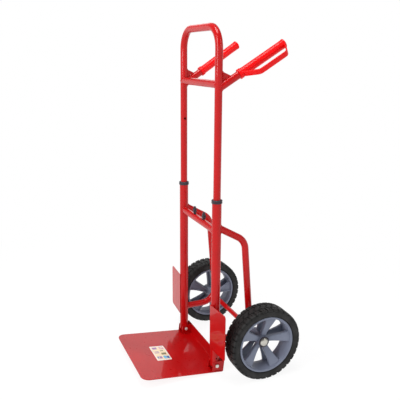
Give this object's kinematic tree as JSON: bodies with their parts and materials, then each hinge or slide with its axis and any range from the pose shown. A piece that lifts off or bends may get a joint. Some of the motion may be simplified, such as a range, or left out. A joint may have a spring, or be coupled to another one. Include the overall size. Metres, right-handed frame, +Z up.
{
  "type": "hand truck",
  "caption": "Red tubular hand truck with a telescopic looped handle, guarded grips, a folding toe plate, wheel guards and spoked wheels with rubber tyres.",
  "frame": {"origin": "on the floor, midway between the wheels, in the plane of the uprights, which is midway between the toe plate's front edge and the back of the tyres", "axes": "+Z up along the uprights, +X towards the right wheel seen from the front, +Y from the toe plate towards the wheels and grips"},
  "size_m": [0.5456, 0.549, 1.198],
  "materials": {
    "red_paint": "gloss powder coat",
    "grip_plastic": "moulded, satin gloss",
    "black_plastic": "moulded, matte",
    "bush_plastic": "moulded, natural",
    "tyre_rubber": "moulded rubber, matte",
    "rim_plastic": "moulded, satin",
    "zinc_steel": "zinc plated",
    "cap_steel": "domed, plated",
    "label_film": null
  },
  "bodies": {
    "frame": {"lower_crossbar": "red_paint", "axle": "red_paint", "spring_stop": "bush_plastic", "outer_tube_left": "red_paint", "outer_tube_right": "red_paint", "collar_left": "black_plastic", "collar_right": "black_plastic", "side_brace_left": "red_paint", "side_brace_right": "red_paint", "wheel_guard_left": "red_paint", "wheel_guard_right": "red_paint", "axle_spacer_left": "zinc_steel", "axle_spacer_right": "zinc_steel", "inner_washer_left": "zinc_steel", "inner_washer_right": "zinc_steel", "outer_washer_left": "zinc_steel", "outer_washer_right": "zinc_steel", "axle_cap_left": "cap_steel", "axle_cap_right": "cap_steel", "pivot_bolt_left": "zinc_steel", "pivot_bolt_right": "zinc_steel", "pivot_nut_left": "zinc_steel", "pivot_nut_right": "zinc_steel", "release_spring_left": "zinc_steel", "release_spring_right": "zinc_steel"},
    "handle": {"handle_loop": "red_paint", "upper_crossbar": "red_paint", "guide_bush_left": "bush_plastic", "guide_bush_right": "bush_plastic", "handle_tube_left": "red_paint", "handle_tube_right": "red_paint", "gusset_left": "red_paint", "gusset_right": "red_paint", "grip_left": "grip_plastic", "grip_right": "grip_plastic"},
    "toe": {"toe_plate": "red_paint", "toe_label": "label_film", "hinge_bracket_left": "red_paint", "hinge_bracket_right": "red_paint"},
    "wheel_left": {"tyre_left": "tyre_rubber", "rim_left": "rim_plastic", "wheel_spider_left": "rim_plastic", "wheel_bush_left": "bush_plastic"},
    "release_left": {"release_knob_left": "black_plastic", "lock_pin_left": "zinc_steel"},
    "wheel_right": {"tyre_right": "tyre_rubber", "rim_right": "rim_plastic", "wheel_spider_right": "rim_plastic", "wheel_bush_right": "bush_plastic"},
    "release_right": {"release_knob_right": "black_plastic", "lock_pin_right": "zinc_steel"}
  },
  "joints": [
    {"name": "handle_slide", "type": "slide", "parent": "frame", "child": "handle", "axis": [0, 0, 1], "range_m": [-0.3495, 0]},
    {"name": "toe_fold", "type": "hinge", "parent": "frame", "child": "toe", "pos_m": [0, 0, 0.02842], "axis": [-1, 0, 0], "range_deg": [0, 83.6]},
    {"name": "wheel_spin_left", "type": "hinge", "parent": "frame", "child": "wheel_left", "pos_m": [-0.238, 0.143, 0.1315], "axis": [1, 0, 0], "continuous": true},
    {"name": "wheel_spin_right", "type": "hinge", "parent": "frame", "child": "wheel_right", "pos_m": [0.238, 0.143, 0.1315], "axis": [1, 0, 0], "continuous": true},
    {"name": "release_slide_left", "type": "slide", "parent": "frame", "child": "release_left", "axis": [1, 0, 0], "range_m": [0, 0.01], "stiffness_N_per_m": 600, "springref_m": -0.01, "deforming": ["release_spring_left"]},
    {"name": "release_slide_right", "type": "slide", "parent": "frame", "child": "release_right", "axis": [-1, 0, 0], "range_m": [0, 0.01], "stiffness_N_per_m": 600, "springref_m": -0.01, "deforming": ["release_spring_right"]}
  ]
}
